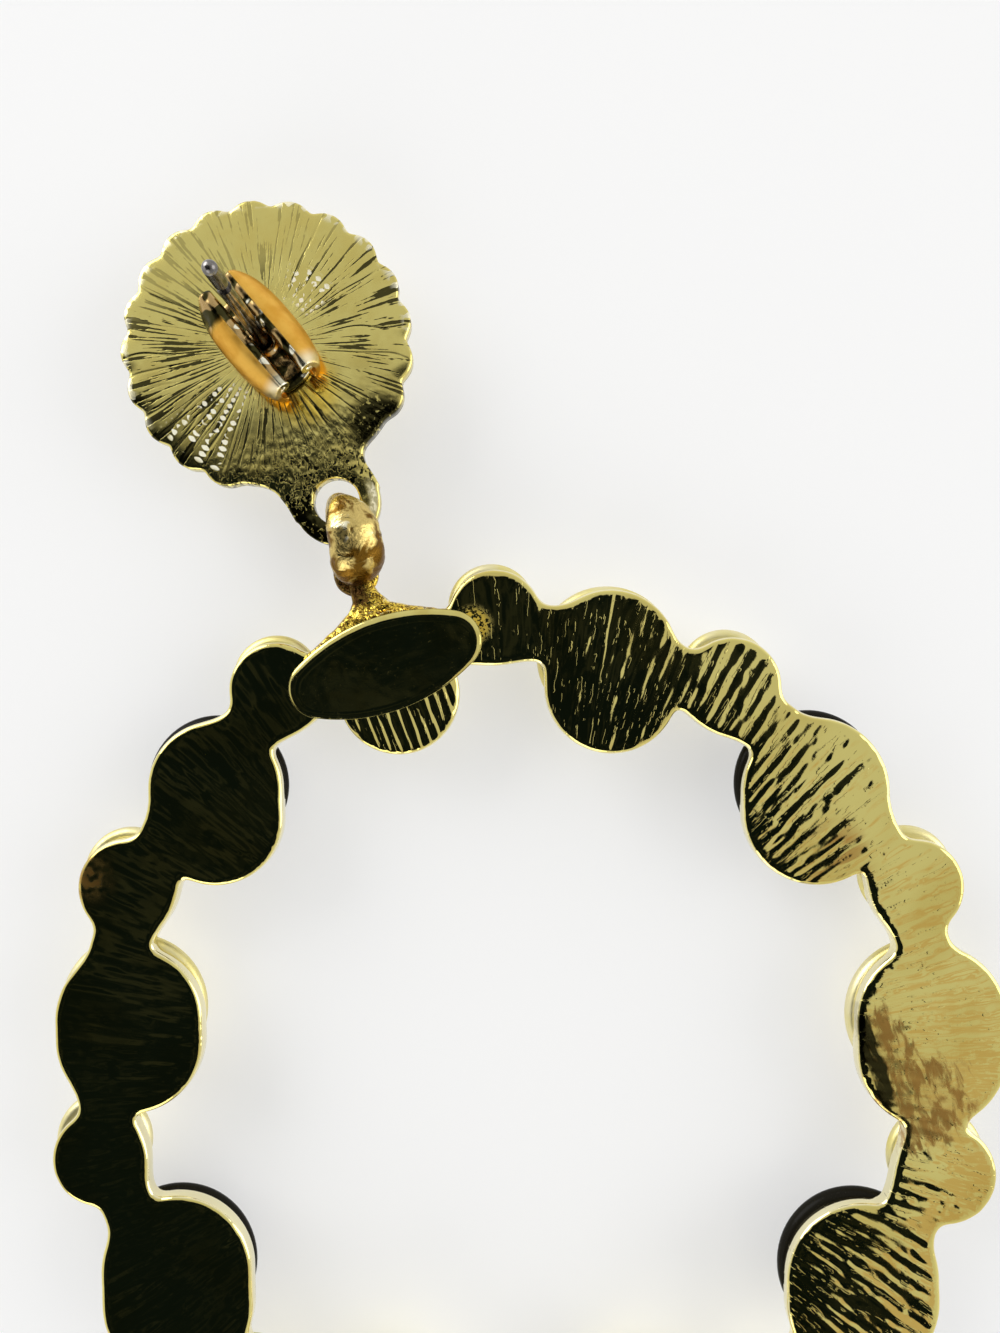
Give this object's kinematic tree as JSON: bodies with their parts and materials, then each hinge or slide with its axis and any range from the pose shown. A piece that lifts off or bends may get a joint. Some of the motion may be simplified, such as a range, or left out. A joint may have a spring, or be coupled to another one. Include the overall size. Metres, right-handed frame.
{
  "type": "beaded hoop earring",
  "caption": "Hoop earring of graduated domed beads on an openwork plate, hung by a jump ring from a scalloped stud with an ear post and a butterfly nut, lying back up.",
  "frame": {"origin": "centre of the bounding box's bottom face: the plane the beads lie on", "axes": "+Z out of the back of the earring along the ear post, +Y from the hoop to the stud along the drop, +X to the right as seen from the back"},
  "size_m": [0.0582, 0.0854, 0.0164],
  "materials": {
    "gold_plate": "pale gold plating over cast metal, polished, with fine file marks on the back",
    "gold_bead": "satin pale gold",
    "black_bead": "glossy black enamel",
    "gold_nut": "satin deep gold",
    "gold_link": "polished gold with small solder lumps",
    "steel": "bare drawn steel"
  },
  "bodies": {
    "earring": {"hoop_plate": "gold_plate", "stud_plate": "gold_plate", "stud_bead": "gold_bead", "ear_post": "steel", "jump_ring": "gold_link", "large_bead_1": "gold_bead", "large_bead_2": "gold_bead", "large_bead_3": "black_bead", "large_bead_4": "gold_bead", "large_bead_5": "black_bead", "large_bead_6": "gold_bead", "large_bead_7": "gold_bead", "large_bead_8": "black_bead", "large_bead_9": "gold_bead", "large_bead_10": "black_bead", "small_bead_1": "gold_bead", "small_bead_2": "gold_bead", "small_bead_3": "gold_bead", "small_bead_4": "gold_bead", "small_bead_5": "gold_bead", "small_bead_6": "gold_bead", "small_bead_7": "gold_bead", "small_bead_8": "gold_bead", "small_bead_9": "gold_bead", "small_bead_10": "gold_bead"},
    "nut": {"ear_nut": "gold_nut"}
  },
  "joints": [
    {"name": "nut_slide", "type": "slide", "parent": "earring", "child": "nut", "axis": [0, 0, 1], "range_m": [0, 0.0115]}
  ]
}
